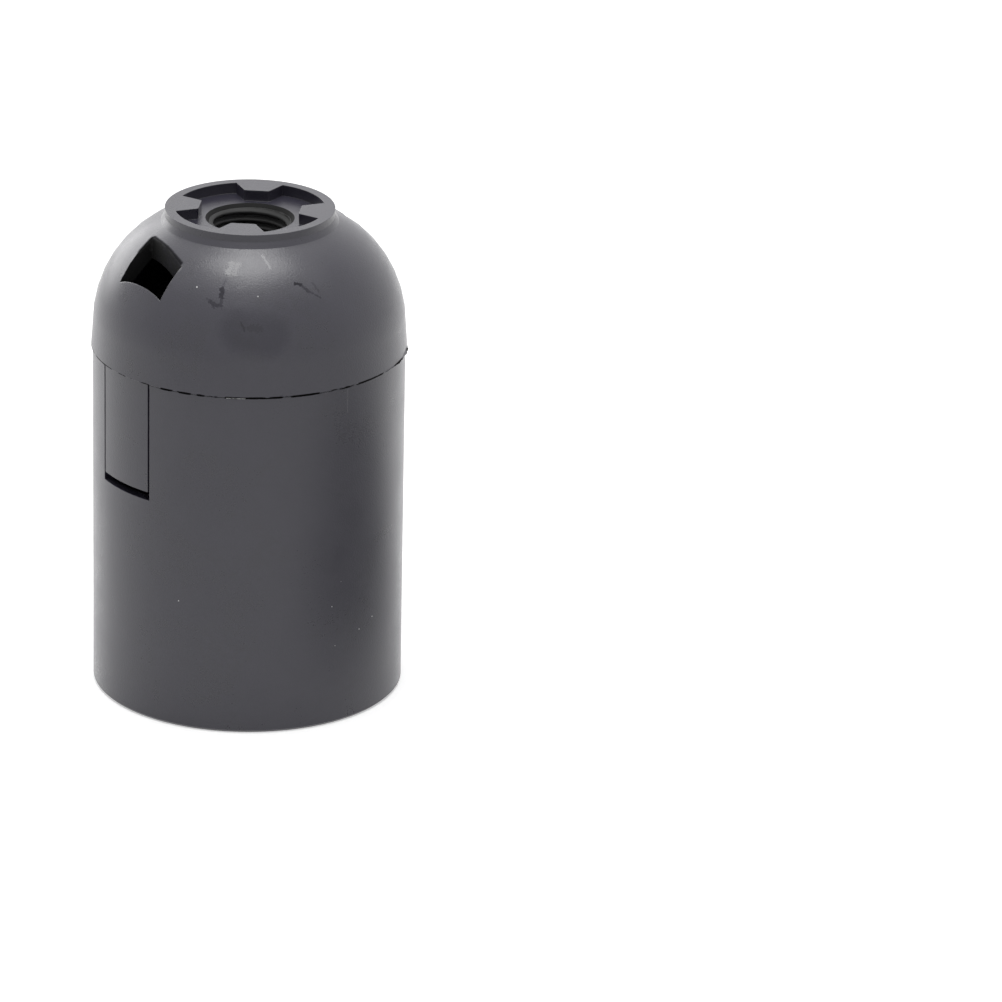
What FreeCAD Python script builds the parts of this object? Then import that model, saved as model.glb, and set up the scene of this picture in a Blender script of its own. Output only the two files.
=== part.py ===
import FreeCAD, Part
import math
import os

from FreeCAD import Vector

# Edison screw lamp holder for E27 lamps: a moulded skirt with the lamp's threaded tube, a dome
# that snaps on with a threaded entry for a lamp pipe, and a contact block between them.
# It stands mouth down. Millimetres, +Z up, origin in the middle of the mouth's rim.
# The snap tongues lie on +X and -X, the two terminals on +Y and -Y.

# Lamp thread: the bore is the major radius of the E27 thread, whose rounded turns are surface detail
lamp_thread_radius = 13.3
thread_length = 9.7
thread_lead = 0.9
entry_room = 0.7
entry_length = 2.0
tube_wall = 1.1

# Skirt, the plain outer wall, with its ledge, webs and rim
skirt_wall = 1.2
skirt_space = 2.0
rim_break = 0.35
ledge_depth = 8.2
ledge_thickness = 1.6
notch_width = 10.2
notch_round = 1.0
web_thickness = 1.2
web_drop = 8.4
seam_above_socket = 7.3
seam_gap = 0.12

# Socket on top of the lamp tube, which the contact block's cup sits in
cup_room = 0.5
cup_wall = 0.9
cup_fit = 0.1
cup_depth = 11.5
socket_wall = 1.2
socket_drop = 0.3
key_width = 3.0
key_height = 1.1
key_inset = 0.1
key_gap = 0.2

# Dome
dome_wall = 1.7
dome_round = 14.35
dome_straight = 2.8
dome_facets = 8
lining_facets = 2
lip_flare = 0.2
spigot_length = 2.2
spigot_wall = 1.1
spigot_gap = 0.2
hold_rib_thickness = 1.4
hold_rib_reach = 0.6
hold_gap = 0.3

# Pipe entry: the bore is the major radius of an M10x1 thread
pipe_thread_radius = 5.0
pipe_mouth_room = 0.4
sleeve_wall = 2.2
sleeve_length = 9.5

# Collar round the entry, with its recess and teeth
tooth_count = 4
tooth_length = 3.0
tooth_root = 6.4
tooth_tip = 3.0
tooth_clearance = 0.7
tooth_corner = 0.3
recess_depth = 1.35
collar_wall = 1.2
collar_side = 0.89
collar_fillet = 0.8
collar_facets = 1

# Snap tongues, what they lock into, and the windows above them
tongue_width = 8.5
tongue_below_nib = 0.6
tongue_gap = 0.28
release_gap = 1.05
nib_side = 0.75
nib_depth = 0.35
nib_height = 2.2
nib_gap = 0.6
catch_side = 0.25
catch_height = 1.6
catch_drop = 1.6
catch_gap = 0.1
window_side = 0.22
window_land = 1.4
window_slant = 1.6
window_wall = 0.8

# Contact block
plate_thickness = 3.5
flange_width = 1.2
flange_thickness = 1.2
flange_gap = 0.3
pad_height = 1.0
pad_room = 1.0
channel_side = 1.3
barrier_thickness = 1.6
barrier_height = 7.5
barrier_room = 2.1
tower_wall = 1.2
tower_height = 4.5
kerb_height = 1.2

# Centre contact, a springy strip under the lamp's tip
centre_width = 7.0
centre_sheet = 0.5
centre_root_room = 2.8
centre_tail = 1.7
centre_drop = 3.0
centre_overrun = 4.6
centre_tip_rise = 0.7
centre_bend = 0.9
button_radius = 1.7
button_height = 0.5
strip_hole_radius = 0.9
strip_hole_place = 3.8

# Side contact, a leaf against the lamp's threaded shell
side_width = 4.8
side_sheet = 0.4
side_root_room = 0.8
side_tail = 1.1
side_bend = 1.2
side_bulge = 0.8
side_return = 0.7
side_end_rise = 1.9
side_bulge_rise = 3.2
side_flex_travel = 0.4
flex_room = 0.45
leaf_window_side = 0.7

# Terminals, with clamp plates and screws
terminal_side = 0.475
terminal_sheet = 1.0
terminal_space = 1.2
terminal_tab = 2.4
terminal_tab_side = 1.1
boss_side = 0.4
boss_length = 1.3
clamp_space = 0.6
clamp_sheet = 0.9
clamp_lip = 0.5
screw_head_height = 2.1
screw_head_side = 0.1
screw_share = 0.57
screw_clearance = 0.1
screw_slot_width = 0.9
screw_slot_depth = 1.1
screw_end_gap = 0.3
pocket_gap = 0.2
pocket_floor = 0.9
part_gap = 0.3

# How far a fused piece reaches into its neighbour, and how far a cut runs past a face
sink = 0.3
past = 1.0

# Radii worked out from the sizes above, from the lamp's thread outwards
entry_radius = lamp_thread_radius + entry_room
tube_outside = entry_radius + tube_wall
cup_radius = entry_radius + cup_room
cup_inside = cup_radius - cup_wall
socket_radius = cup_radius + cup_fit
socket_outside = socket_radius + socket_wall
skirt_inside = socket_outside + skirt_space
skirt_radius = skirt_inside + skirt_wall
lip_radius = skirt_radius + lip_flare
dome_inside = skirt_radius - dome_wall
flange_radius = cup_radius + flange_width
spigot_outside = skirt_inside - spigot_gap
spigot_inside = spigot_outside - spigot_wall
pipe_mouth_radius = pipe_thread_radius + pipe_mouth_room
sleeve_outside = pipe_thread_radius + sleeve_wall
tooth_tip_radius = pipe_mouth_radius + tooth_clearance
recess_radius = tooth_tip_radius + tooth_length
collar_radius = recess_radius + collar_wall
window_inner = collar_radius + collar_fillet + window_land
window_outer = dome_inside - window_wall
nib_reach = dome_inside - nib_depth
catch_reach = nib_reach - catch_gap
centre_root = cup_inside - centre_root_room
side_root = cup_inside - side_root_room

# Levels, from the rim upwards
ledge_top = ledge_depth + ledge_thickness
thread_start = ledge_top + entry_length
thread_end = thread_start + thread_length
base_height = thread_end + cup_depth
plate_top = base_height + plate_thickness
socket_top = plate_top - socket_drop
catch_top = socket_top - catch_drop
catch_low = catch_top - catch_height
nib_top = catch_low - nib_gap
nib_low = nib_top - nib_height
tongue_end = nib_low - tongue_below_nib
flange_under = socket_top + flange_gap
flange_top = flange_under + flange_thickness
seam_height = socket_top + seam_above_socket
skirt_top = seam_height - seam_gap
dome_arc_height = seam_height + dome_straight

# The fillet under the collar touches the collar's side and the dome's round
dome_arc_centre = skirt_radius - dome_round
fillet_reach = collar_radius + collar_fillet - dome_arc_centre
fillet_rise = math.sqrt((dome_round + collar_fillet) ** 2 - fillet_reach ** 2)
fillet_angle = math.degrees(math.atan2(fillet_rise, fillet_reach))
collar_foot = dome_arc_height + fillet_rise
total_height = collar_foot + collar_side
recess_floor = total_height - recess_depth
sleeve_low = recess_floor - sleeve_length

# Terminals: both have the same screw place, set by the centre contact's shorter plate
terminal_inner = barrier_thickness / 2 + terminal_space
centre_terminal_reach = centre_root - centre_sheet / 2 - part_gap
side_terminal_reach = side_root - side_sheet / 2 - part_gap - side_flex_travel
clamp_room = centre_terminal_reach - terminal_sheet - terminal_inner
terminal_place = terminal_inner + clamp_room / 2
clamp_half = clamp_room / 2 - clamp_space
screw_head_radius = clamp_half - screw_head_side
screw_radius = screw_head_radius * screw_share
boss_radius = clamp_half - boss_side
terminal_width = 2 * (clamp_half + terminal_side)
clamp_under = plate_top + terminal_sheet
head_under = clamp_under + clamp_sheet
head_top = head_under + screw_head_height
screw_end = base_height + pocket_floor + screw_end_gap


def box(x0, x1, y0, y1, z0, z1):
    return Part.makeBox(x1 - x0, y1 - y0, z1 - z0, Vector(x0, y0, z0))


def rod(radius, z0, z1, x=0.0, y=0.0):
    return Part.makeCylinder(radius, z1 - z0, Vector(x, y, z0))


def ring(inner, outer, z0, z1):
    return rod(outer, z0, z1).cut(rod(inner, z0 - past, z1 + past))


def turned(shape, degrees):
    copy = shape.copy()
    copy.rotate(Vector(0, 0, 0), Vector(0, 0, 1), degrees)
    return copy


def outline(points):
    # A closed face in the XZ plane.
    corners = [Vector(x, 0, z) for x, z in points]
    return Part.Face(Part.makePolygon(corners + corners[:1]))


def revolved(points):
    return outline(points).revolve(Vector(0, 0, 0), Vector(0, 0, 1), 360)


def extruded(points, width):
    # The outline, centred on the XZ plane.
    solid = outline(points).extrude(Vector(0, width, 0))
    solid.translate(Vector(0, -width / 2, 0))
    return solid


def arc_points(centre, radius, first, last, facets):
    # A round in the XZ plane as a few straight facets, which keeps the revolved surface light.
    points = []
    for step in range(facets + 1):
        angle = math.radians(first + (last - first) * step / facets)
        points.append((centre[0] + radius * math.cos(angle), centre[1] + radius * math.sin(angle)))
    return points


def upright_edges(shape):
    return [e for e in shape.Edges if abs(e.tangentAt(e.FirstParameter).z) > 0.9]


def bent_strip(points, sheet, bend, width):
    # Sheet folded along a line of (y, z) points, with the same bend radius at each fold.
    half = sheet / 2
    path = [Vector(0, y, z) for y, z in points]
    sides = {half: [], -half: []}
    for offset, edges in sides.items():
        here = None
        for index in range(1, len(path)):
            along = (path[index] - path[index - 1]).normalize()
            across = Vector(0, -along.z, along.y)
            if here is None:
                here = path[0] + across * offset
            if index == len(path) - 1:
                edges.append((here, None, path[index] + across * offset))
                break
            ahead = (path[index + 1] - path[index]).normalize()
            turn = math.atan2(along.y * ahead.z - along.z * ahead.y, along.dot(ahead))
            setback = bend * math.tan(abs(turn) / 2)
            centre = path[index] - along * setback + across * math.copysign(bend, turn)
            start = path[index] - along * setback + across * offset
            ahead_across = Vector(0, -ahead.z, ahead.y)
            end = path[index] + ahead * setback + ahead_across * offset
            outward = (path[index] - centre).normalize()
            middle = centre + outward * (start - centre).Length
            edges.append((here, None, start))
            edges.append((start, middle, end))
            here = end
    left, right = sides[half], sides[-half]
    edges = [as_edge(*piece) for piece in left]
    edges.append(Part.LineSegment(left[-1][2], right[-1][2]).toShape())
    edges += [as_edge(*piece) for piece in reversed(right)]
    edges.append(Part.LineSegment(right[0][0], left[0][0]).toShape())
    face = Part.Face(Part.Wire(Part.__sortEdges__(edges)))
    solid = face.extrude(Vector(width, 0, 0))
    solid.translate(Vector(-width / 2, 0, 0))
    return solid


def as_edge(start, middle, end):
    if middle is None:
        return Part.LineSegment(start, end).toShape()
    return Part.Arc(start, middle, end).toShape()


def make_skirt():
    body = revolved([
        (skirt_inside, 0),
        (skirt_radius - rim_break, 0),
        (skirt_radius, rim_break),
        (skirt_radius, skirt_top),
        (skirt_inside, skirt_top),
        (skirt_inside, ledge_top),
        (tube_outside, ledge_top),
        (tube_outside, thread_end - socket_wall),
        (socket_outside, thread_end),
        (socket_outside, socket_top),
        (socket_radius, socket_top),
        (socket_radius, thread_end),
        (lamp_thread_radius, thread_end),
        (lamp_thread_radius, thread_start + thread_lead),
        (entry_radius, thread_start),
        (entry_radius, ledge_depth),
        (skirt_inside, ledge_depth),
    ])
    web = box(tube_outside - sink, skirt_inside + sink, -web_thickness / 2, web_thickness / 2,
              ledge_top - sink, socket_top - web_drop)
    key = box(socket_radius + key_inset, socket_outside - key_inset, -key_width / 2, key_width / 2,
              socket_top - sink, flange_under + key_height)
    catch = extruded([
        (socket_outside - sink, catch_low),
        (catch_reach, catch_low),
        (catch_reach, catch_low + catch_height / 3),
        (socket_outside, catch_top),
        (socket_outside - sink, catch_top),
    ], tongue_width - 2 * catch_side)
    notch = box(tube_outside, skirt_inside, -notch_width / 2, notch_width / 2,
                ledge_depth - past, ledge_top + past)
    notch = notch.makeFillet(notch_round, upright_edges(notch))
    notch = notch.common(ring(tube_outside, skirt_inside, ledge_depth - past, ledge_top + past))
    slot_half = tongue_width / 2 + tongue_gap
    slot = box(spigot_inside, skirt_radius + past, -slot_half, slot_half,
               tongue_end - release_gap, skirt_top + past)
    for angle in (0, 180):
        body = body.cut(turned(notch, angle)).cut(turned(slot, angle))
        body = body.fuse(turned(catch, angle)).fuse(turned(key, angle))
    for angle in (45, 135, 225, 315):
        body = body.fuse(turned(web, angle))
    return body.removeSplitter()


def make_dome():
    arc_centre = (dome_arc_centre, dome_arc_height)
    shell = [(0, seam_height), (lip_radius, seam_height)]
    shell += arc_points(arc_centre, dome_round, 0, fillet_angle, dome_facets)
    shell += arc_points((collar_radius + collar_fillet, collar_foot), collar_fillet,
                        180 + fillet_angle, 180, collar_facets)[1:]
    shell += [(collar_radius, total_height), (0, total_height)]
    lining_round = dome_round - dome_wall
    ceiling = recess_floor - dome_wall
    lining_angle = math.degrees(math.asin((ceiling - dome_arc_height) / lining_round))
    lining = [(0, seam_height - past), (dome_inside, seam_height - past)]
    lining += arc_points(arc_centre, lining_round, 0, lining_angle, lining_facets)
    lining += [(0, ceiling)]
    outer = revolved(shell)
    sleeve = rod(sleeve_outside, sleeve_low, recess_floor)
    recess = rod(recess_radius, recess_floor, total_height + past)
    mouth = Part.makeCone(pipe_thread_radius, pipe_mouth_radius, pipe_mouth_room,
                          Vector(0, 0, recess_floor - pipe_mouth_room))
    bore = rod(pipe_thread_radius, sleeve_low - past, total_height)
    body = outer.cut(revolved(lining)).fuse(sleeve).cut([recess, bore, mouth])
    body = body.fuse([turned(make_tooth(), 45 + 360 / tooth_count * i) for i in range(tooth_count)])

    spigot = ring(spigot_inside, spigot_outside, seam_height - spigot_length, seam_height + spigot_wall)
    beside_tongue = tongue_width / 2 + 3 * tongue_gap
    spigot = spigot.cut(box(-lip_radius, lip_radius, -beside_tongue, beside_tongue, 0, total_height))
    rib_outside = spigot_outside - spigot_wall / 2
    rib = box(cup_inside - hold_rib_reach, rib_outside, -hold_rib_thickness / 2, hold_rib_thickness / 2,
              flange_top + hold_gap, total_height)
    rib = rib.common(rod(rib_outside, 0, total_height)).common(outer.fuse(rod(rib_outside, 0, seam_height)))
    body = body.fuse([spigot] + [turned(rib, angle) for angle in (45, 135, 225, 315)])

    tongue = make_tongue()
    window = make_window()
    for angle in (0, 180):
        body = body.cut(turned(window, angle)).fuse(turned(tongue, angle))
    return body.removeSplitter()


def make_tooth():
    root = recess_radius + sink
    corners = [
        Vector(root, -tooth_root / 2, recess_floor),
        Vector(root, tooth_root / 2, recess_floor),
        Vector(tooth_tip_radius, tooth_tip / 2, recess_floor),
        Vector(tooth_tip_radius, -tooth_tip / 2, recess_floor),
    ]
    face = Part.Face(Part.makePolygon(corners + corners[:1]))
    tooth = face.extrude(Vector(0, 0, recess_depth))
    tips = [e for e in upright_edges(tooth) if e.CenterOfMass.x < recess_radius]
    return tooth.makeFillet(tooth_corner, tips)


def make_window():
    # The cut for one window, whose inner edge runs aslant to the collar.
    half = tongue_width / 2 - window_side
    corners = [
        Vector(window_inner - window_slant / 2, -half, dome_arc_height),
        Vector(window_outer, -half, dome_arc_height),
        Vector(window_outer, half, dome_arc_height),
        Vector(window_inner + window_slant / 2, half, dome_arc_height),
    ]
    face = Part.Face(Part.makePolygon(corners + corners[:1]))
    return face.extrude(Vector(0, 0, total_height - dome_arc_height))


def make_tongue():
    # A strip on the skirt's own wall line that hangs from the dome, with the snap nib inside.
    root = seam_height + dome_straight / 2
    strip = ring(dome_inside, skirt_radius, tongue_end, root)
    strip = strip.common(box(0, lip_radius, -tongue_width / 2, tongue_width / 2, 0, total_height))
    nib = extruded([
        (dome_inside + sink, nib_low),
        (dome_inside + sink, nib_top),
        (nib_reach, nib_top),
        (nib_reach, nib_top - nib_height / 3),
        (dome_inside, nib_low),
    ], tongue_width - 2 * nib_side)
    return strip.fuse(nib)


def make_contact_block():
    cup = rod(cup_radius, thread_end, plate_top).cut(rod(cup_inside, 0, base_height))
    flange = ring(cup_inside, flange_radius, flange_under, flange_top)
    rim = ring(cup_inside, cup_radius, plate_top - sink, flange_top)
    pads = rod(cup_inside - pad_room, base_height - pad_height, base_height)
    channel_half = centre_width / 2 + channel_side
    pads = pads.cut(box(-channel_half, channel_half, -cup_inside, cup_inside, 0, total_height))
    barrier_half = cup_inside - barrier_room
    barrier = box(-barrier_half, barrier_half, -barrier_thickness / 2, barrier_thickness / 2,
                  plate_top - sink, plate_top + barrier_height)
    body = cup.fuse([flange, rim, pads, barrier])
    for angle, reach in ((0, centre_terminal_reach), (180, side_terminal_reach)):
        inner = terminal_width / 2 + pocket_gap / 2
        wall_end = reach - part_gap
        wall = box(-inner - tower_wall, -inner, 0, wall_end, plate_top - sink, plate_top + tower_height)
        kerb = box(inner, inner + tower_wall, 0, wall_end, plate_top - sink, plate_top + kerb_height)
        pocket = rod(boss_radius + pocket_gap, base_height + pocket_floor, plate_top, 0, terminal_place)
        body = body.fuse([turned(wall, angle), turned(kerb, angle)]).cut(turned(pocket, angle))
    centre_slot = box(-centre_width / 2 - flex_room, centre_width / 2 + flex_room,
                      centre_root - centre_sheet / 2 - flex_room,
                      centre_root + centre_sheet / 2 + flex_room,
                      base_height - pad_height - past, plate_top + past)
    side_slot = box(-side_width / 2 - flex_room, side_width / 2 + flex_room,
                    -side_root - side_sheet / 2 - flex_room,
                    -side_root + side_sheet / 2 + flex_room,
                    base_height - pad_height - past, flange_top + past)
    leaf_window = box(-side_width / 2 - leaf_window_side, side_width / 2 + leaf_window_side,
                      -cup_radius - past, -cup_inside + past, thread_end + past, base_height)
    key_hole = box(cup_radius - cup_fit, flange_radius + past, -key_width / 2 - key_gap,
                   key_width / 2 + key_gap, flange_under - past, flange_under + key_height + key_gap)
    body = body.cut([centre_slot, side_slot, leaf_window, key_hole, turned(key_hole, 180)])
    return body.removeSplitter()


def make_centre_contact():
    press_height = base_height - centre_drop
    strip = bent_strip(
        [
            (centre_root, plate_top + centre_tail),
            (centre_root, base_height - centre_bend / 2),
            (-centre_overrun / 3, press_height),
            (-centre_overrun, press_height + centre_tip_rise),
        ],
        centre_sheet, centre_bend, centre_width)
    button_low = press_height - centre_sheet / 2 - button_height / 2
    button = Part.makeCone(button_radius - button_height, button_radius, button_height,
                           Vector(0, 0, button_low))
    hole = rod(strip_hole_radius, thread_end, base_height, 0, strip_hole_place)
    return strip.fuse(button).cut(hole).removeSplitter()


def make_side_contact():
    end_height = thread_end + side_end_rise
    return bent_strip(
        [
            (-side_root, plate_top + side_tail),
            (-side_root, base_height - side_bend),
            (-side_root + side_bulge, end_height + side_bulge_rise),
            (-side_root + side_bulge - side_return, end_height),
        ],
        side_sheet, side_bend, side_width)


def make_terminal(reach):
    # A folded brass plate: it lies on the block, and its tab stands beside the contact's tail.
    tab_half = terminal_width / 2 - terminal_tab_side
    plate = box(-terminal_width / 2, terminal_width / 2, terminal_inner, reach, plate_top, clamp_under)
    tab = box(-tab_half, tab_half, reach - terminal_sheet, reach, clamp_under, clamp_under + terminal_tab)
    boss = rod(boss_radius, plate_top - boss_length, plate_top, 0, terminal_place)
    hole = rod(screw_radius + screw_clearance, 0, total_height, 0, terminal_place)
    return plate.fuse([tab, boss]).cut(hole).removeSplitter()


def make_clamp():
    low = terminal_place - clamp_half
    high = terminal_place + clamp_half
    plate = box(-clamp_half, clamp_half, low, high, clamp_under, head_under)
    hole = rod(screw_radius + screw_clearance, 0, total_height, 0, terminal_place)
    # The underside is hollowed along the wire, so the plate bites on its two lips.
    hollow = box(-clamp_half - past, clamp_half + past, low + clamp_lip, high - clamp_lip,
                 clamp_under, clamp_under + clamp_lip / 2)
    return plate.cut([hole, hollow])


def make_screw():
    head = rod(screw_head_radius, head_under, head_top, 0, terminal_place)
    shank = rod(screw_radius, screw_end, head_under + sink, 0, terminal_place)
    slot_reach = screw_head_radius + past
    slot = box(-slot_reach, slot_reach, terminal_place - screw_slot_width / 2,
               terminal_place + screw_slot_width / 2, head_top - screw_slot_depth, head_top + past)
    return head.fuse(shank).cut(slot).removeSplitter()


pieces = {
    "skirt": make_skirt(),
    "dome": make_dome(),
    "contact_block": make_contact_block(),
    "centre_contact": make_centre_contact(),
    "side_contact": make_side_contact(),
    "centre_terminal": make_terminal(centre_terminal_reach),
    "side_terminal": turned(make_terminal(side_terminal_reach), 180),
    "centre_clamp": make_clamp(),
    "side_clamp": turned(make_clamp(), 180),
    "centre_screw": make_screw(),
    "side_screw": turned(make_screw(), 180),
}

os.makedirs("parts", exist_ok=True)
for name, shape in pieces.items():
    shape.exportStep("parts/" + name + ".step")
    print(name, "valid" if shape.isValid() else "NOT VALID", len(shape.Solids), "solid",
          round(shape.Volume, 1), "mm3")
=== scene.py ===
import math

import bpy
import numpy as np
from mathutils import Matrix, Vector


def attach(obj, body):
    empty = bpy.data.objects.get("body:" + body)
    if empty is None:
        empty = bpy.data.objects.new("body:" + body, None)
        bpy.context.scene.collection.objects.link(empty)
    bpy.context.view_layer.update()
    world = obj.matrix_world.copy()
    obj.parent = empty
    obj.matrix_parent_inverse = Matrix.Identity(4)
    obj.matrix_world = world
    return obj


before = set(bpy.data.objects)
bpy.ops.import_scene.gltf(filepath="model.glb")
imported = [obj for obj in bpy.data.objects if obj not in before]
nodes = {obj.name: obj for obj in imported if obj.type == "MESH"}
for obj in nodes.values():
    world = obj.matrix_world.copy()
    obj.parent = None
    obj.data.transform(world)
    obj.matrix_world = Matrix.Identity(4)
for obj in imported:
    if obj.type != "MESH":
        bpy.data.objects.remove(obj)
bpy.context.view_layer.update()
mm = 0.001

# The holder stands mouth down on the floor. +Z is up, the snap tongues lie on +X and -X,
# and the camera stands at the photograph's angle, at 232.55 degrees round from +X.
cameraValues = {
    "distance": 867.6 * mm,
    "elevation": 22.993,
    "around": 232.55,
    "turn": -2.068,
    "tilt": 1.409,
    "roll": -0.304,
    "lens": 251.5,
    "sensor": 36.0,
    "clip": (0.01, 20.0),
}


def turnAbout(vector, axis, degrees):
    # The part along the axis stays, the rest turns about it.
    angle = math.radians(degrees)
    along = axis * np.dot(axis, vector) * (1 - math.cos(angle))
    return vector * math.cos(angle) + np.cross(axis, vector) * math.sin(angle) + along


def makeCamera(values):
    azimuth, height = math.radians(values["around"]), math.radians(values["elevation"])
    level = np.array([math.cos(azimuth), math.sin(azimuth), 0.0])
    outward = level * math.cos(height) + np.array([0.0, 0.0, math.sin(height)])
    place = outward * values["distance"]
    look = -outward
    right = np.array([-level[1], level[0], 0.0])
    up = np.cross(right, look)
    look, right = turnAbout(look, up, values["turn"]), turnAbout(right, up, values["turn"])
    look, up = turnAbout(look, right, values["tilt"]), turnAbout(up, right, values["tilt"])
    right, up = turnAbout(right, look, values["roll"]), turnAbout(up, look, values["roll"])
    data = bpy.data.cameras.new("photoCamera")
    data.lens = values["lens"]
    data.sensor_width = values["sensor"]
    data.clip_start, data.clip_end = values["clip"]
    camera = bpy.data.objects.new("photoCamera", data)
    bpy.context.scene.collection.objects.link(camera)
    rows = [[right[i], up[i], -look[i], place[i]] for i in range(3)] + [[0, 0, 0, 1]]
    camera.matrix_world = Matrix(rows)
    bpy.context.scene.camera = camera


def put(tree, kind, settings=None, inputs=None):
    # One shader node, with its settings, and its sockets given as values or as links.
    node = tree.nodes.new(kind)
    for label, value in (settings or {}).items():
        setattr(node, label, value)
    for label, value in (inputs or {}).items():
        socket = node.inputs[label]
        if isinstance(value, bpy.types.NodeSocket):
            tree.links.new(value, socket)
        else:
            socket.default_value = value
    return node


def sums(tree, operation, first, second, clamp=False):
    settings = {"operation": operation, "use_clamp": clamp}
    return put(tree, "ShaderNodeMath", settings, {0: first, 1: second}).outputs[0]


def vectors(tree, operation, first, second):
    node = put(tree, "ShaderNodeVectorMath", {"operation": operation}, {0: first, 1: second})
    return node.outputs["Value" if operation == "DOT_PRODUCT" else "Vector"]


def lengthOf(tree, vector):
    return put(tree, "ShaderNodeVectorMath", {"operation": "LENGTH"}, {0: vector}).outputs["Value"]


def axesOf(tree, place):
    return put(tree, "ShaderNodeSeparateXYZ", None, {"Vector": place}).outputs


def noiseAt(tree, place, scale, detail, **more):
    inputs = {"Vector": place, "Scale": scale, "Detail": detail, **more}
    return put(tree, "ShaderNodeTexNoise", None, inputs).outputs[0]


def blendColour(tree, share, first, second):
    # The first colour where share is 0, the second where it is 1; sockets 6 and 7 are the colours.
    inputs = {"Factor": share, 6: first, 7: second}
    return put(tree, "ShaderNodeMix", {"data_type": "RGBA"}, inputs).outputs[2]


def between(tree, value, low, high, newLow=0.0, newHigh=1.0):
    # A smooth step from newLow, where value is low, to newHigh, where it is high.
    inputs = {"Value": value, "From Min": low, "From Max": high,
              "To Min": newLow, "To Max": newHigh}
    settings = {"interpolation_type": "SMOOTHSTEP"}
    return put(tree, "ShaderNodeMapRange", settings, inputs).outputs[0]


def startGroup(name, inputs, outputs):
    # An empty node group with named sockets: the group, what it is given and what it puts out.
    group = bpy.data.node_groups.new(name, "ShaderNodeTree")
    for label, kind, value in inputs:
        socket = group.interface.new_socket(label, in_out="INPUT", socket_type="NodeSocket" + kind)
        if value is not None:
            socket.default_value = value
    for label in outputs:
        group.interface.new_socket(label, in_out="OUTPUT", socket_type="NodeSocketFloat")
    given = group.nodes.new("NodeGroupInput").outputs
    return group, given, group.nodes.new("NodeGroupOutput").inputs


def useGroup(tree, group, inputs):
    return put(tree, "ShaderNodeGroup", {"node_tree": group}, inputs).outputs


def mouldGrainGroup():
    # The fine satin grain of a spark-eroded mould, and the slow clouds of tone across it.
    group, given, out = startGroup(
        "mouldGrain",
        [("Place", "Vector", None), ("Grain", "Float", 0.15 * mm), ("Cloud", "Float", 6 * mm)],
        ["Height", "Cloud"])
    fineScale = sums(group, "DIVIDE", 1.0, given["Grain"])
    cloudScale = sums(group, "DIVIDE", 1.0, given["Cloud"])
    fine = noiseAt(group, given["Place"], fineScale, 2.0, Roughness=0.6)
    cloud = noiseAt(group, given["Place"], cloudScale, 3.0, Roughness=0.55)
    group.links.new(fine, out["Height"])
    group.links.new(cloud, out["Cloud"])
    return group


def dustGroup():
    # Small round specks: a cell's centre shows where the surface passes close to it. The cell's
    # red picks the share that shows, and its green makes a speck half to one and a half times Size.
    group, given, out = startGroup(
        "dust",
        [("Place", "Vector", None), ("Spacing", "Float", 3 * mm), ("Size", "Float", 0.08 * mm),
         ("Share", "Float", 0.5)],
        ["Mask"])
    scale = sums(group, "DIVIDE", 1.0, given["Spacing"])
    cells = put(group, "ShaderNodeTexVoronoi", None, {"Vector": given["Place"], "Scale": scale})
    reach = sums(group, "MULTIPLY", cells.outputs["Distance"], given["Spacing"])
    tint = put(group, "ShaderNodeSeparateColor", None, {"Color": cells.outputs["Color"]})
    chosen = sums(group, "LESS_THAN", tint.outputs["Red"], given["Share"])
    size = sums(group, "MULTIPLY", given["Size"], sums(group, "ADD", tint.outputs["Green"], 0.5))
    near = sums(group, "LESS_THAN", reach, size)
    group.links.new(sums(group, "MULTIPLY", near, chosen), out["Mask"])
    return group


smearPattern = {"finer": 9.0, "bare": 0.85, "reach": 0.6, "softness": 0.12, "broken": (0.35, 0.6)}


def smearGroup():
    # Hand marks: slow noise, cut to patches at a level that falls as Cover rises, and broken up
    # by a finer noise.
    values = smearPattern
    group, given, out = startGroup(
        "smear",
        [("Place", "Vector", None), ("Size", "Float", 8 * mm), ("Cover", "Float", 0.4)],
        ["Mask"])
    scale = sums(group, "DIVIDE", 1.0, given["Size"])
    fineScale = sums(group, "MULTIPLY", scale, values["finer"])
    slow = noiseAt(group, given["Place"], scale, 4.0, Distortion=0.6)
    fine = noiseAt(group, given["Place"], fineScale, 2.0)
    lowered = sums(group, "MULTIPLY", given["Cover"], values["reach"])
    edge = sums(group, "SUBTRACT", values["bare"], lowered)
    patch = between(group, slow, sums(group, "SUBTRACT", edge, values["softness"]), edge)
    broken = between(group, fine, *values["broken"])
    group.links.new(sums(group, "MULTIPLY", patch, broken), out["Mask"])
    return group


strokePattern = {"ragged": 2.2, "calm": 0.3, "noise": 3400.0, "detail": 3.0, "edge": (1.0, 0.4)}


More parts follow.
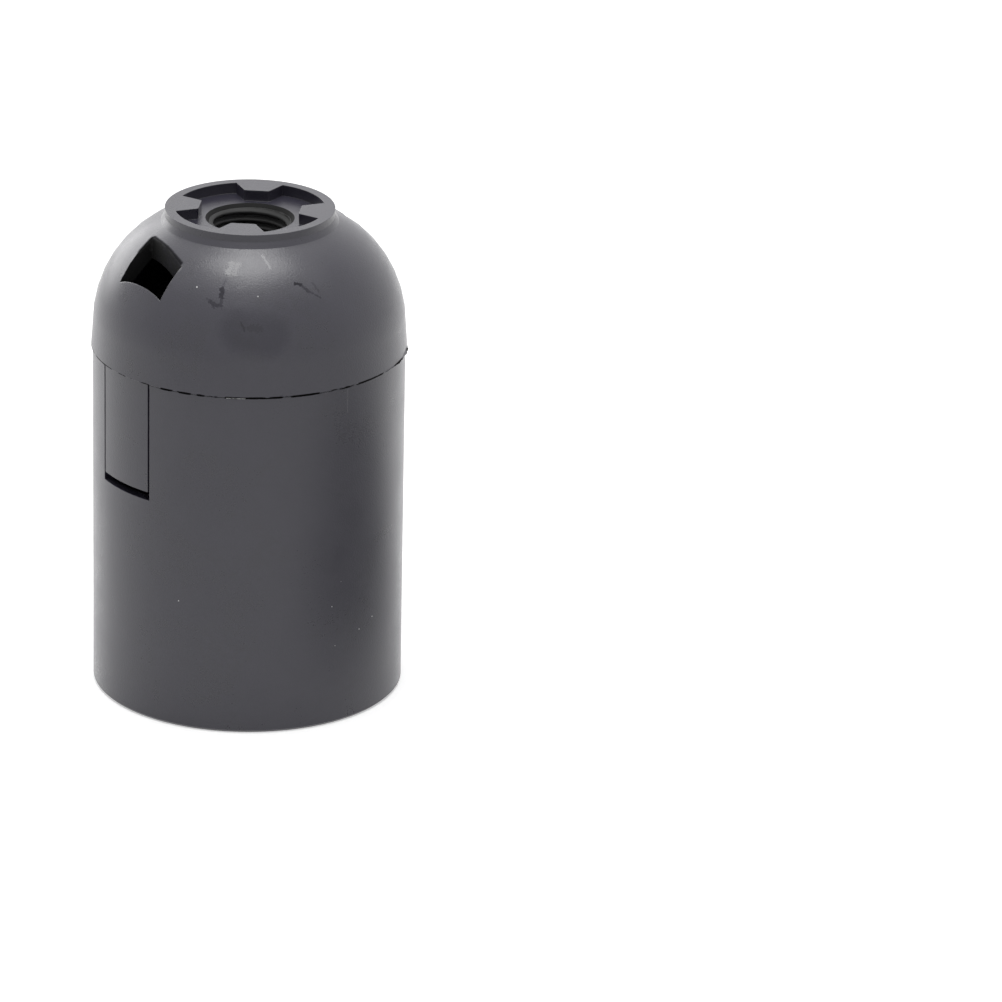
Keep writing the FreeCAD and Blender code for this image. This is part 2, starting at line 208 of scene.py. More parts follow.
def strokeGroup():
    # One mark along a straight line: the distance to the line between its ends, over its width,
    # bent by noise so that the edge is ragged. With both ends in one place it is a speck.
    values = strokePattern
    group, given, out = startGroup(
        "stroke",
        [("Place", "Vector", None), ("Start", "Vector", (0.0, 0.0, 0.0)),
         ("End", "Vector", (0.0, 0.0, 0.0)), ("Width", "Float", 0.3 * mm),
         ("Ragged", "Float", values["ragged"])],
        ["Mask"])
    offset = vectors(group, "SUBTRACT", given["Place"], given["Start"])
    along = vectors(group, "SUBTRACT", given["End"], given["Start"])
    reach = vectors(group, "DOT_PRODUCT", along, along)
    dot = vectors(group, "DOT_PRODUCT", offset, along)
    share = sums(group, "DIVIDE", dot, reach, clamp=True)
    scaled = {0: along, "Scale": share}
    nearest = put(group, "ShaderNodeVectorMath", {"operation": "SCALE"}, scaled).outputs[0]
    away = lengthOf(group, vectors(group, "SUBTRACT", offset, nearest))
    noise = noiseAt(group, given["Place"], values["noise"], values["detail"])
    shift = sums(group, "MULTIPLY", sums(group, "SUBTRACT", noise, 0.5), given["Ragged"])
    bent = sums(group, "ADD", sums(group, "DIVIDE", away, given["Width"]), shift)
    group.links.new(between(group, bent, *values["edge"]), out["Mask"])
    return group


edgePattern = {"noise": 900.0, "detail": 3.0, "agree": (0.995, 0.90), "patchy": (0.42, 0.62)}


def edgeWearGroup():
    # Where handling has paled an edge: the rounded and the true normal part there, and noise
    # breaks it up.
    values = edgePattern
    group, given, out = startGroup(
        "edgeWear",
        [("Place", "Vector", None), ("Rounded", "Vector", None), ("Plain", "Vector", None)],
        ["Mask"])
    agree = vectors(group, "DOT_PRODUCT", given["Rounded"], given["Plain"])
    noise = noiseAt(group, given["Place"], values["noise"], values["detail"])
    edge = between(group, agree, *values["agree"])
    patchy = between(group, noise, *values["patchy"])
    group.links.new(sums(group, "MULTIPLY", edge, patchy), out["Mask"])
    return group


rubPattern = {"noise": 700.0, "detail": 3.0, "line": (1.0, 0.2), "patchy": (0.38, 0.62)}


def rubGroup():
    # A worn line at one level, such as an edge: full at the level, gone a width away, and patchy.
    values = rubPattern
    group, given, out = startGroup(
        "rub",
        [("Place", "Vector", None), ("Level", "Float", 0.0), ("At", "Float", 0.0),
         ("Width", "Float", 0.3 * mm)],
        ["Mask"])
    away = sums(group, "ABSOLUTE", sums(group, "SUBTRACT", given["Level"], given["At"]), 0.0)
    line = between(group, sums(group, "DIVIDE", away, given["Width"]), *values["line"])
    noise = noiseAt(group, given["Place"], values["noise"], values["detail"])
    patchy = between(group, noise, *values["patchy"])
    group.links.new(sums(group, "MULTIPLY", line, patchy), out["Mask"])
    return group


def rollingGroup():
    # The fine straight lines that rolling leaves on strip metal.
    group, given, out = startGroup(
        "rollingLines",
        [("Place", "Vector", None), ("Stretch", "Vector", (1.0, 1.0, 1.0)),
         ("Fineness", "Float", 4000.0)],
        ["Height"])
    stretched = vectors(group, "MULTIPLY", given["Place"], given["Stretch"])
    lines = noiseAt(group, stretched, given["Fineness"], 2.0, Roughness=0.5)
    group.links.new(lines, out["Height"])
    return group


groups = {
    "grain": mouldGrainGroup(),
    "dust": dustGroup(),
    "smear": smearGroup(),
    "stroke": strokeGroup(),
    "edgeWear": edgeWearGroup(),
    "rub": rubGroup(),
    "rolling": rollingGroup(),
}


def startMaterial(name, shader):
    material = bpy.data.materials.new(name)
    material.use_nodes = True
    tree = material.node_tree
    tree.nodes.clear()
    output = put(tree, "ShaderNodeOutputMaterial")
    principled = put(tree, "ShaderNodeBsdfPrincipled", None, shader)
    tree.links.new(principled.outputs[0], output.inputs["Surface"])
    place = put(tree, "ShaderNodeTexCoord").outputs["Object"]
    return material, tree, principled, place


plasticValues = {
    "ior": 1.52,
    "colour": (0.0210, 0.0195, 0.0310, 1.0),
    "paleColour": (0.0260, 0.0245, 0.0360, 1.0),
    "smearColour": (0.0190, 0.0180, 0.0260, 1.0),
    "wearColour": (0.11, 0.11, 0.115, 1.0),
    # The scuff colour also paints the shade strokes, which are painted shade.
    "scuffAndShadeColour": (0.006, 0.006, 0.007, 1.0),
    # Dirt and painted shade in the seam.
    "seamShadeAndDirtColour": (0.004, 0.004, 0.004, 1.0),
    "dustColour": (0.72, 0.72, 0.72, 1.0),
    "roughness": (0.29, 0.34),
    "polished": 0.10,
    "scuffAndShadeRough": 0.75,
    "grain": 0.2 * mm,
    "grainDepth": 0.020 * mm,
    "grainRough": 0.10,
    "cloud": 7 * mm,
    "cloudTones": (0.3, 0.7),
    "smear": {"Size": 9 * mm, "Cover": 0.4},
    "smearShare": 0.4,
    "smearRough": -0.03,
    "edgeRound": 0.10 * mm,
    "edgeSamples": 6,
    "wearShare": 0.3,
    "seamWidth": 0.15 * mm,
    "seamTones": (0.0, 0.45),
    "seamFrom": 18.85 * mm,
    "speck": {"Spacing": 6 * mm, "Size": 0.035 * mm, "Share": 0.35},
    "speckShare": 0.5,
}

# The dome's outer wall in millimetres: an arc of radius round about a ring of radius ring, which
# lies at this height.
wallShape = {"ring": 4.65, "height": 46.3, "round": 14.35}


def onWall(around, height):
    # The wall is a cylinder up to the dome, and above it an arc about a circle: r = ring +
    # sqrt(round^2 - rise^2), with the rise over the arc's own level.
    angle = math.radians(around)
    rise = max(height - wallShape["height"], 0.0)
    out = wallShape["ring"] + math.sqrt(wallShape["round"] ** 2 - rise ** 2)
    return out * math.cos(angle), out * math.sin(angle), height


def strokeMask(tree, place, strokes, ragged=strokePattern["ragged"]):
    # The strongest of the strokes (start, end, width, strength) at each point; millimetres.
    mask = 0.0
    for start, end, width, strength in strokes:
        start, end = np.multiply(onWall(*start), mm), np.multiply(onWall(*end), mm)
        inputs = {"Place": place, "Start": start, "End": end, "Width": width * mm, "Ragged": ragged}
        one = useGroup(tree, groups["stroke"], inputs)["Mask"]
        mask = sums(tree, "MAXIMUM", mask, sums(tree, "MULTIPLY", one, strength))
    return mask


def softened(tree, place, soft, edgeRound):
    # The radius that edges are rounded by: more inside the box round a softer edge, on both sides.
    parts = axesOf(tree, place)
    step = soft["fade"] * mm
    inside = 1.0
    for axis, (low, high) in enumerate(soft["box"]):
        size = sums(tree, "ABSOLUTE", parts[axis], 0.0)
        above = between(tree, size, low * mm - step, low * mm + step)
        below = between(tree, size, high * mm + step, high * mm - step)
        inside = sums(tree, "MULTIPLY", sums(tree, "MULTIPLY", inside, above), below)
    return between(tree, inside, 0.0, 1.0, edgeRound, soft["radius"] * mm)


def plasticMaterial(name, values, marks=None, seamAt=None, soft=None, gloss=0.5):
    marks = marks or {}
    shader = {"IOR": values["ior"], "Specular IOR Level": gloss}
    material, tree, principled, place = startMaterial(name, shader)
    inputs = {"Place": place, "Grain": values["grain"], "Cloud": values["cloud"]}
    grain = useGroup(tree, groups["grain"], inputs)
    cloud = between(tree, grain["Cloud"], *values["cloudTones"])
    smear = useGroup(tree, groups["smear"], {"Place": place, **values["smear"]})["Mask"]
    radius = softened(tree, place, soft, values["edgeRound"]) if soft else values["edgeRound"]
    settings = {"samples": values["edgeSamples"]}
    rounded = put(tree, "ShaderNodeBevel", settings, {"Radius": radius}).outputs[0]
    plain = put(tree, "ShaderNodeNewGeometry").outputs["Normal"]
    inputs = {"Place": place, "Rounded": rounded, "Plain": plain}
    wear = useGroup(tree, groups["edgeWear"], inputs)["Mask"]

    def paint(colour, mask, share, name):
        return blendColour(tree, sums(tree, "MULTIPLY", mask, share), colour, values[name])

    colour = blendColour(tree, cloud, values["colour"], values["paleColour"])
    colour = paint(colour, smear, values["smearShare"], "smearColour")
    colour = paint(colour, wear, values["wearShare"], "wearColour")
    rough = between(tree, grain["Cloud"], *values["cloudTones"], *values["roughness"])
    rough = sums(tree, "ADD", rough, sums(tree, "MULTIPLY", smear, values["smearRough"]))
    fine = sums(tree, "SUBTRACT", grain["Height"], 0.5)
    rough = sums(tree, "ADD", rough, sums(tree, "MULTIPLY", fine, values["grainRough"]))
    dulled = 0.0
    if seamAt:
        # Dirt and painted shade in the seam under the lip's overhang, on the outer wall only.
        inputs = {"Place": place, "Level": axesOf(tree, place)["Z"], "At": seamAt,
                  "Width": values["seamWidth"]}
        seamShadeAndDirt = useGroup(tree, groups["rub"], inputs)["Mask"]
        seamShadeAndDirt = between(tree, seamShadeAndDirt, *values["seamTones"])
        out = lengthOf(tree, vectors(tree, "MULTIPLY", place, (1.0, 1.0, 0.0)))
        outside = sums(tree, "GREATER_THAN", out, values["seamFrom"])
        seamShadeAndDirt = sums(tree, "MULTIPLY", seamShadeAndDirt, outside)
        colour = blendColour(tree, seamShadeAndDirt, colour, values["seamShadeAndDirtColour"])
        dulled = sums(tree, "MAXIMUM", dulled, seamShadeAndDirt)
    # Dark marks are scuffs. Shade marks are painted shade. Both take the scuff-and-shade colour and
    # lose their gloss.
    for kind, ragged in (("dark", strokePattern["ragged"]), ("shade", strokePattern["calm"])):
        if kind in marks:
            mark = strokeMask(tree, place, marks[kind], ragged)
            colour = blendColour(tree, mark, colour, values["scuffAndShadeColour"])
            dulled = sums(tree, "MAXIMUM", dulled, mark)
    if "shine" in marks:
        mark = strokeMask(tree, place, marks["shine"])
        rough = between(tree, mark, 0.0, 1.0, rough, values["polished"])
    if marks:
        rough = between(tree, dulled, 0.0, 1.0, rough, values["scuffAndShadeRough"])
        # Scuffs, the seam's marks and the painted shade hardly mirror: a metal of their near-black
        # colour does the same.
        tree.links.new(dulled, principled.inputs["Metallic"])
    if "pale" in marks:
        mark = strokeMask(tree, place, marks["pale"])
        colour = blendColour(tree, mark, colour, values["dustColour"])
    speck = useGroup(tree, groups["dust"], {"Place": place, **values["speck"]})["Mask"]
    colour = paint(colour, speck, values["speckShare"], "dustColour")
    inputs = {"Height": grain["Height"], "Distance": values["grainDepth"], "Strength": 1.0,
              "Normal": rounded}
    bump = put(tree, "ShaderNodeBump", None, inputs)
    tree.links.new(colour, principled.inputs["Base Color"])
    tree.links.new(rough, principled.inputs["Roughness"])
    tree.links.new(bump.outputs[0], principled.inputs["Normal"])
    return material


metalValues = {
    "lineTones": (0.3, 0.7),
    "lineDepth": 0.01 * mm,
    "lineStrength": 0.6,
    "stain": {"Size": 3 * mm, "Cover": 0.6},
    "stainShare": 0.6,
    "stainRough": 0.15,
}
brassValues = dict(metalValues, **{
    "colour": (0.62, 0.42, 0.17, 1.0),
    "paleColour": (0.78, 0.58, 0.28, 1.0),
    "stainColour": (0.38, 0.22, 0.09, 1.0),
    "roughness": (0.22, 0.36),
    "stretch": (1.0, 0.04, 0.04),
    "fineness": 5000.0,
})
zincValues = dict(metalValues, **{
    "colour": (0.50, 0.51, 0.52, 1.0),
    "paleColour": (0.68, 0.69, 0.70, 1.0),
    "stainColour": (0.34, 0.34, 0.33, 1.0),
    "roughness": (0.28, 0.42),
    "stretch": (1.0, 1.0, 0.3),
    "fineness": 3000.0,
})


def metalMaterial(name, values):
    material, tree, principled, place = startMaterial(name, {"Metallic": 1.0})
    inputs = {"Place": place, "Stretch": values["stretch"], "Fineness": values["fineness"]}
    lines = useGroup(tree, groups["rolling"], inputs)["Height"]
    stain = useGroup(tree, groups["smear"], {"Place": place, **values["stain"]})["Mask"]
    tone = between(tree, lines, *values["lineTones"])
    colour = blendColour(tree, tone, values["colour"], values["paleColour"])
    share = sums(tree, "MULTIPLY", stain, values["stainShare"])
    colour = blendColour(tree, share, colour, values["stainColour"])
    rough = between(tree, lines, *values["lineTones"], *values["roughness"])
    rough = sums(tree, "ADD", rough, sums(tree, "MULTIPLY", stain, values["stainRough"]))
    inputs = {"Height": lines, "Distance": values["lineDepth"], "Strength": values["lineStrength"]}
    bump = put(tree, "ShaderNodeBump", None, inputs)
    tree.links.new(colour, principled.inputs["Base Color"])
    tree.links.new(rough, principled.inputs["Roughness"])
    tree.links.new(bump.outputs[0], principled.inputs["Normal"])
    return material


def dress(node, material):
    mesh = nodes[node].data
    mesh.materials.clear()
    mesh.materials.append(material)


smoothing = {"join": 0.001 * mm, "sharpOver": 16}


def smoothingGroup(values):
    # Joins a CAD mesh's facets and shades them as one round wherever they meet at a small angle,
    # in degrees. No point moves.
    group = bpy.data.node_groups.new("smoothMoulding", "GeometryNodeTree")
    for way in ("INPUT", "OUTPUT"):
        group.interface.new_socket("Geometry", in_out=way, socket_type="NodeSocketGeometry")
    shape = group.nodes.new("NodeGroupInput").outputs[0]
    inputs = {"Geometry": shape, "Name": "custom_normal"}
    shape = put(group, "GeometryNodeRemoveAttribute", None, inputs).outputs[0]
    inputs = {"Geometry": shape, "Distance": values["join"]}
    shape = put(group, "GeometryNodeMergeByDistance", None, inputs).outputs[0]
    inputs = {"Geometry": shape, "Shade Smooth": True}
    shape = put(group, "GeometryNodeSetShadeSmooth", {"domain": "FACE"}, inputs).outputs[0]
    turn = put(group, "GeometryNodeInputMeshEdgeAngle").outputs["Unsigned Angle"]
    inputs = {0: turn, 1: math.radians(values["sharpOver"])}
    sharp = put(group, "FunctionNodeCompare", {"operation": "GREATER_THAN"}, inputs).outputs[0]
    inputs = {"Geometry": shape, "Selection": sharp, "Shade Smooth": False}
    shape = put(group, "GeometryNodeSetShadeSmooth", {"domain": "EDGE"}, inputs).outputs[0]
    group.links.new(shape, group.nodes.new("NodeGroupOutput").inputs[0])
    return group


def smoothNode(node, group):
    modifier = nodes[node].modifiers.new("smoothMoulding", "NODES")
    modifier.node_group = group


# Where the dome counts as inside, in millimetres: deeper than least under the wall and outside
# the collar, or nearer the axis than entry and lower than entryTop.
domeInside = dict(wallShape, least=0.12, collar=11.2, entry=5.45, entryTop=59.5)


def paintShadeInside(node, material, values):
    # Faces deeper than the moulding's outer round, as inside the windows, get the darker, duller
    # material: painted shade in the recesses.
    mesh = nodes[node].data
    points = np.empty(len(mesh.vertices) * 3)
    mesh.vertices.foreach_get("co", points)
    points = points.reshape(-1, 3) / mm
    corners = np.empty(len(mesh.loops), int)
    mesh.loops.foreach_get("vertex_index", corners)
    middle = points[corners.reshape(-1, 3)].mean(1)
    out, height = np.hypot(middle[:, 0], middle[:, 1]), middle[:, 2]
    depth = values["round"] - np.hypot(out - values["ring"], height - values["height"])
    inside = (depth > values["least"]) & (out > values["collar"]) & (height > values["height"])
    inside |= (out < values["entry"]) & (height < values["entryTop"])
    mesh.materials.append(material)
    mesh.polygons.foreach_set("material_index", inside.astype(np.int32))


def makePiece(name, points, faces, material, body, smooth=True):
    mesh = bpy.data.meshes.new(name)
    mesh.vertices.add(len(points))
    mesh.vertices.foreach_set("co", np.asarray(points, float).ravel())
    mesh.loops.add(faces.size)
    mesh.loops.foreach_set("vertex_index", faces.ravel())
    mesh.polygons.add(len(faces))
    mesh.polygons.foreach_set("loop_start", np.arange(0, faces.size, faces.shape[1]))
    mesh.polygons.foreach_set("use_smooth", np.full(len(faces), smooth))
    mesh.update(calc_edges=True)
    mesh.validate()
    mesh.materials.append(material)
    piece = bpy.data.objects.new(name, mesh)
    bpy.context.scene.collection.objects.link(piece)
    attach(piece, body)
    return piece


def gridFaces(rows, columns):
    # Quads between the rows of a grid whose columns close round into a ring.
    row, column = np.meshgrid(np.arange(rows - 1), np.arange(columns), indexing="ij")
    ahead = (column + 1) % columns
    corners = [row * columns + column, row * columns + ahead,
               (row + 1) * columns + ahead, (row + 1) * columns + column]
    return np.stack(corners, -1).reshape(-1, 4)


# Threads, in millimetres: ease is how far the ridge rises for each millimetre from the thread's
# ends, and flat and flank are shares of half a pitch.
pipeThread = {
    "name": "pipe_entry_thread", "body": "dome_cover", "slot": "dark_plastic",
    "bore": 4.99, "root": 4.96, "crest": 4.46, "pitch": 1.0, "bottom": 50.08, "top": 59.13,
    "rounded": False, "flat": 0.25, "flank": 0.625, "ease": 3.0,
    "stepsRound": 128, "stepsPerPitch": 14,
}
lampThread = {
    "name": "lamp_thread_turns", "body": "holder_body", "slot": "dark_plastic",
    "bore": 13.29, "root": 13.26, "crest": 12.35, "pitch": 25.4 / 7, "bottom": 12.75, "top": 21.45,
    "rounded": True, "ease": 1.0,
    "stepsRound": 192, "stepsPerPitch": 26,
}


def makeThread(values, material):
    # r(angle, z) climbs one pitch a turn, right hand: a cosine for the lamp's rounded turns and a
    # 60 degree ridge for the pipe's, eased back to the bore at both ends.
    top, bottom, bore = values["top"], values["bottom"], values["bore"]
    rows = int((top - bottom) / values["pitch"] * values["stepsPerPitch"])
    height = np.linspace(bottom, top, rows)[:, None]
    angle = np.linspace(0, 2 * np.pi, values["stepsRound"], endpoint=False)[None, :]
    phase = (height / values["pitch"] - angle / (2 * np.pi)) % 1.0
    if values["rounded"]:
        ridge = 0.5 + 0.5 * np.cos(2 * np.pi * phase)
    else:
        ridge = np.clip((np.abs(phase - 0.5) * 2 - values["flat"]) / values["flank"], 0, 1)
    radius = values["crest"] + (values["root"] - values["crest"]) * ridge
    easing = np.minimum(top - height, height - bottom)
    radius = np.maximum(radius, values["root"] - easing * values["ease"])
    inner = [radius * np.cos(angle), radius * np.sin(angle), height + 0 * angle]
    ends = np.array([top, bottom])[:, None]
    outer = [bore * np.cos(angle) + 0 * ends, bore * np.sin(angle) + 0 * ends, ends + 0 * angle]
    points = np.concatenate([np.stack(inner, -1), np.stack(outer, -1)]).reshape(-1, 3) * mm
    # The two outer rows close the wall, and one row more joins the last to the first.
    faces = gridFaces(rows + 3, values["stepsRound"])[:, ::-1] % len(points)
    return makePiece(values["name"], points, faces, material, values["body"])


# The lip's fin, in degrees and millimetres. Each wave is its size, its count along the fin in
# radians and its start.
lipFlash = {
    "name": "lip_flash", "body": "dome_cover", "slot": "dark_plastic",
    "from": 291.0, "to": 320.5, "root": 19.08, "height": 43.57, "thickness": 0.07,
    "reach": 0.26, "atStart": 0.35, "growth": 0.65, "least": 0.14, "droop": 0.3,
    "middle": 0.5, "waves": ((0.2, 37, 0), (0.2, 17, 1), (0.08, 97, 2)),
    "fadeIn": 0.08, "fadeOut": 0.03, "steps": 120,
}


def makeLipFlash(values, material):
    # A thin fin on the lip's lower edge. Its reach grows with the angle along the lip, and a sum of
    # sines makes its edge ragged; four points go round it at each step.
    share = np.linspace(0, 1, values["steps"])
    angle = np.radians(values["from"] + (values["to"] - values["from"]) * share)
    ragged = values["middle"]
    for size, count, begin in values["waves"]:
        ragged = ragged + size * np.sin(count * share + begin)
    ends = np.clip(share / values["fadeIn"], 0, 1) * np.clip((1 - share) / values["fadeOut"], 0, 1)
    grown = values["atStart"] + values["growth"] * share
    reach = values["reach"] * grown * ragged * ends + values["least"]
    tip = values["height"] - values["droop"] * reach
    root, thick = values["height"] + 0 * tip, values["thickness"]
    radii = np.stack([0 * reach, reach, reach, 0 * reach], 1) + values["root"]
    heights = np.stack([root, tip, tip - thick, values["height"] - thick + 0 * tip], 1)
    level = [radii * np.cos(angle)[:, None], radii * np.sin(angle)[:, None]]
    points = np.stack([*level, heights], -1).reshape(-1, 3) * mm
    last = (values["steps"] - 1) * 4
    caps = np.array([[3, 2, 1, 0], [last, last + 1, last + 2, last + 3]])
    faces = np.concatenate([gridFaces(values["steps"], 4), caps])
    return makePiece(values["name"], points, faces, material, values["body"], False)


studio = {
    "skyLight": 0.27,
    "skyGloss": 1.38,
    "aimHeight": 0.03,
    "lights": {
        "topLight": {"power": 6.3, "size": 0.58, "place": (0.0, 0.0, 1.0)},
        "ceilingPanel": {"power": 5.0, "size": 1.7, "place": (0.0, 0.0, 1.05)},
        "sidePanel": {"power": 2.6, "size": 0.6, "place": (0.05, 0.95, 0.30)},
    },
    "floorRings": (17.0, 19.0, 60.0, 300.0, 1600.0),
    "floorSteps": 96,
    "floorDrop": 0.02 * mm,
    "floorColour": (0.8, 0.8, 0.8, 1.0),
    "floorGlow": 0.45,
    "floorGloss": 0.65,
    # Painted reflection: where the paper looks darker in gloss, and by how much.
    "shadePlace": (53.0 * mm, -64.0 * mm, 0.0),
    "shadeSize": 75.0,
    "shadeCore": 0.2,
    "shadeDepth": 0.7,
}


def makeSky(values):
    # White where the camera looks at it, weaker as light, and with a strength of its own in gloss.
    world = bpy.data.worlds.new("studio")
    bpy.context.scene.world = world
    world.use_nodes = True
    tree = world.node_tree
    tree.nodes.clear()
    rays = put(tree, "ShaderNodeLightPath").outputs
    seen = sums(tree, "MAXIMUM", rays["Is Camera Ray"], rays["Is Transmission Ray"])
    strength = between(tree, seen, 0.0, 1.0, values["skyLight"], 1.0)
    strength = between(tree, rays["Is Glossy Ray"], 0.0, 1.0, strength, values["skyGloss"])
    inputs = {"Color": (1, 1, 1, 1), "Strength": strength}
    back = put(tree, "ShaderNodeBackground", None, inputs)
    tree.links.new(back.outputs[0], put(tree, "ShaderNodeOutputWorld").inputs[0])


def makeLights(values):
    # Square panels, in metres and watts, that all face the holder's middle.
    for name, choice in values["lights"].items():
        light = bpy.data.lights.new(name, "AREA")
        light.energy = choice["power"]
        light.size = choice["size"]
        lamp = bpy.data.objects.new(name, light)
        place = Vector(choice["place"])
        aim = (Vector((0, 0, values["aimHeight"])) - place).to_track_quat("-Z", "Y")
        lamp.matrix_world = Matrix.Translation(place) @ aim.to_matrix().to_4x4()
        bpy.context.scene.collection.objects.link(lamp)


def paperMaterial(values):
    material = bpy.data.materials.new("floorPaper")
    material.use_nodes = True
    tree = material.node_tree
    tree.nodes.clear()
    rays = put(tree, "ShaderNodeLightPath").outputs
    seen = sums(tree, "MULTIPLY", rays["Is Camera Ray"], values["floorGlow"])
    gloss = sums(tree, "MULTIPLY", rays["Is Glossy Ray"], values["floorGloss"])
    seen = sums(tree, "ADD", seen, gloss)
    # Painted reflection: the paper is darker in gloss only, round one place beside the holder, so
    # that the wall facing it reflects a darker band.
    place = put(tree, "ShaderNodeTexCoord").outputs["Object"]
    away = lengthOf(tree, vectors(tree, "SUBTRACT", place, values["shadePlace"]))
    size = values["shadeSize"]
    core = values["shadeCore"] * size * mm
    shade = between(tree, away, size * mm, core, 0.0, values["shadeDepth"])
    shade = sums(tree, "MULTIPLY", shade, rays["Is Glossy Ray"])
    white = sums(tree, "SUBTRACT", 1.0, shade)
    colour = blendColour(tree, white, (0, 0, 0, 1), values["floorColour"])
    paper = put(tree, "ShaderNodeBsdfDiffuse", None, {"Color": colour})
    inputs = {"Color": (1, 1, 1, 1), "Strength": sums(tree, "MULTIPLY", seen, white)}
    glow = put(tree, "ShaderNodeEmission", None, inputs)
    both = put(tree, "ShaderNodeAddShader", None, {0: paper.outputs[0], 1: glow.outputs[0]})
    # From underneath the paper is clear, so that the holder's underside can be seen.
    below = put(tree, "ShaderNodeNewGeometry").outputs["Backfacing"]
    clear = put(tree, "ShaderNodeBsdfTransparent")
    inputs = {0: below, 1: both.outputs[0], 2: clear.outputs[0]}
    shown = put(tree, "ShaderNodeMixShader", None, inputs)
    out = put(tree, "ShaderNodeOutputMaterial")
    tree.links.new(shown.outputs[0], out.inputs["Surface"])
    return material


def makeFloor(values):
    # A flat ring: z = 0 over angle and radius, open under the mouth so that the inside of the
    # holder gets light from below too.
    rings = np.array(values["floorRings"])[:, None] * mm
    angle = np.linspace(0, 2 * np.pi, values["floorSteps"], endpoint=False)[None, :]
    level = [rings * np.cos(angle), rings * np.sin(angle), 0 * rings * angle]
    faces = gridFaces(len(rings), values["floorSteps"])[:, ::-1]
    mesh = bpy.data.meshes.new("floor")
    mesh.from_pydata(np.stack(level, -1).reshape(-1, 3).tolist(), [], faces.tolist())
    mesh.materials.append(paperMaterial(values))
    floor = bpy.data.objects.new("floor", mesh)
    floor.location.z = -values["floorDrop"]
    bpy.context.scene.collection.objects.link(floor)


makeCamera(cameraValues)
makeSky(studio)
makeLights(studio)
makeFloor(studio)
bpy.context.scene.view_settings.view_transform = "Standard"
print("camera and studio ready")

# Marks on the wall: (start, end, width, strength). Each end is an angle round from +X in degrees
# and a height in millimetres, and onWall works out its place.
domeMarks = {
    "dark": [
        ((221.3, 56.7), (220.2, 55.9), 0.22, 0.3),
        ((220.3, 55.8), (220.5, 55.0), 0.4, 0.62),
        ((220.5, 55.0), (220.8, 54.2), 0.3, 0.45),
        ((214.5, 54.7), (216.3, 54.5), 0.2, 0.3),
        ((216.3, 54.5), (217.9, 54.1), 0.4, 0.5),
        ((217.9, 54.1), (220.8, 54.1), 0.38, 0.5),
        ((253.6, 56.2), (256.1, 56.0), 0.27, 0.7),
        ((256.1, 56.0), (258.7, 55.3), 0.27, 0.5),
        ((258.7, 55.3), (263.3, 54.5), 0.18, 0.4),
        ((261.8, 56.0), (263.7, 55.1), 0.2, 0.25),
        ((229.3, 52.5), (230.6, 51.6), 0.22, 0.4),
        ((232.8, 51.9), (236.2, 51.8), 0.7, 0.3),
        ((244.1, 43.62), (244.1, 43.50), 0.28, 0.9),
    ],
    # Painted shade: dark strokes along the windows' upper edges, where the rounded edge turns away
    # from the light, and one broad darker patch lower on the dome's front.
    "shade": [
        ((163.1, 58.4), (180.0, 58.3), 0.5, 0.9),
        ((180.0, 58.3), (194.9, 57.5), 0.5, 0.9),
        ((343.1, 58.4), (0.0, 58.3), 0.5, 0.9),
        ((0.0, 58.3), (14.9, 57.5), 0.5, 0.9),
        ((229.5, 51.6), (239.5, 51.0), 3.6, 0.22),
    ],
    "shine": [
        ((221.8, 57.2), (223.2, 58.1), 0.5, 1.0),
        ((224.7, 57.2), (226.3, 58.1), 0.5, 1.0),
        ((239.8, 58.9), (243.3, 57.7), 0.17, 1.0),
    ],
    "pale": [
        ((208.7, 55.7), (208.7, 55.7), 0.13, 0.8),
        ((236.2, 55.2), (236.2, 55.2), 0.12, 0.6),
        ((231.1, 43.56), (231.1, 43.56), 0.16, 0.9),
    ],
}
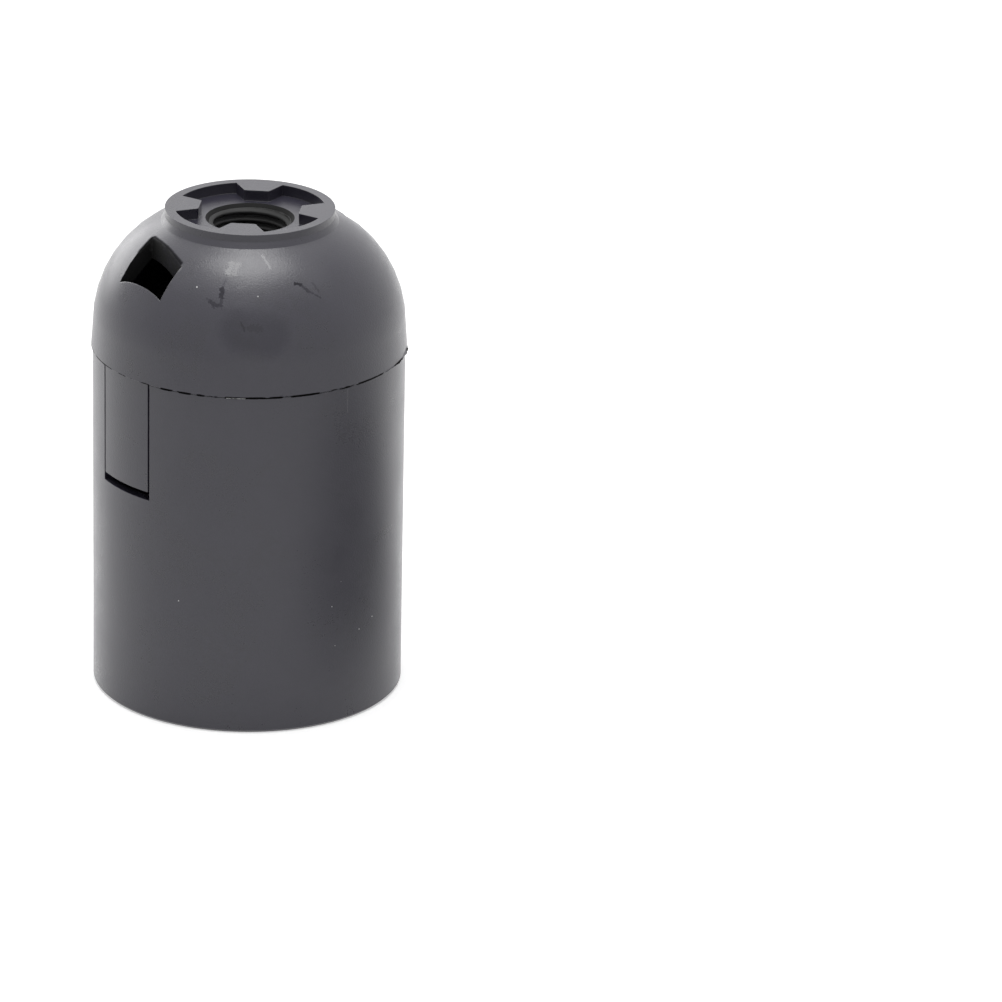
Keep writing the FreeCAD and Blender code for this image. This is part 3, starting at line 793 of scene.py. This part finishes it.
skirtMarks = {
    "pale": [
        ((271.0, 43.0), (271.0, 40.2), 0.12, 0.035),
        ((206.5, 16.5), (206.5, 16.5), 0.1, 0.8),
        ((268.9, 18.4), (268.9, 18.4), 0.1, 0.8),
        ((265.0, 15.4), (265.0, 15.4), 0.09, 0.6),
        ((278.0, 11.4), (278.0, 11.4), 0.1, 0.7),
        ((266.5, 10.2), (266.5, 10.2), 0.08, 0.6),
        ((285.4, 12.3), (285.4, 12.3), 0.1, 0.7),
        ((224.4, 43.36), (231.2, 43.36), 0.07, 0.5),
    ],
}
# The box round a window's upper edge, beside the collar, as distances in millimetres from the
# axes and the floor, and the radius that the edge is rounded by there.
windowEdge = {"box": ((10.8, 13.8), (0.0, 4.3), (56.6, 60.0)), "fade": 0.3, "radius": 0.8}
seamLevels = {"skirt": 43.38 * mm, "dome": 43.50 * mm}
# Painted shade: the dome's recesses, its pipe entry and the pipe thread get a darker, rougher
# plastic with less gloss.
insideShadeValues = dict(plasticValues, **{
    "colour": (0.012, 0.012, 0.012, 1.0),
    "paleColour": (0.015, 0.015, 0.015, 1.0),
    "roughness": (0.62, 0.70),
})
insideShadeGloss = {"dome": 0.08, "thread": 0.3}

skirtPlastic = plasticMaterial("skirtPlastic", plasticValues, skirtMarks, seamLevels["skirt"])
domePlastic = plasticMaterial(
    "domePlastic", plasticValues, domeMarks, seamLevels["dome"], windowEdge)
blockPlastic = plasticMaterial("blockPlastic", plasticValues)
shadedInsidePlastic = plasticMaterial(
    "shadedInsidePlastic", insideShadeValues, soft=windowEdge, gloss=insideShadeGloss["dome"])
shadedThreadPlastic = plasticMaterial("shadedThreadPlastic", insideShadeValues, gloss=insideShadeGloss["thread"])
brass = metalMaterial("brassStrip", brassValues)
zinc = metalMaterial("zincPlate", zincValues)
print("materials done")

dress("skirt", skirtPlastic)
dress("dome", domePlastic)
dress("contact_block", blockPlastic)
for node in ("centre_contact", "side_contact", "centre_terminal", "side_terminal"):
    dress(node, brass)
for node in ("centre_clamp", "side_clamp", "centre_screw", "side_screw"):
    dress(node, zinc)
paintShadeInside("dome", shadedInsidePlastic, domeInside)
smoothNode("dome", smoothingGroup(smoothing))
makeThread(pipeThread, shadedThreadPlastic)
makeThread(lampThread, skirtPlastic)
makeLipFlash(lipFlash, domePlastic)
print("CAD nodes dressed, threads and fin done")
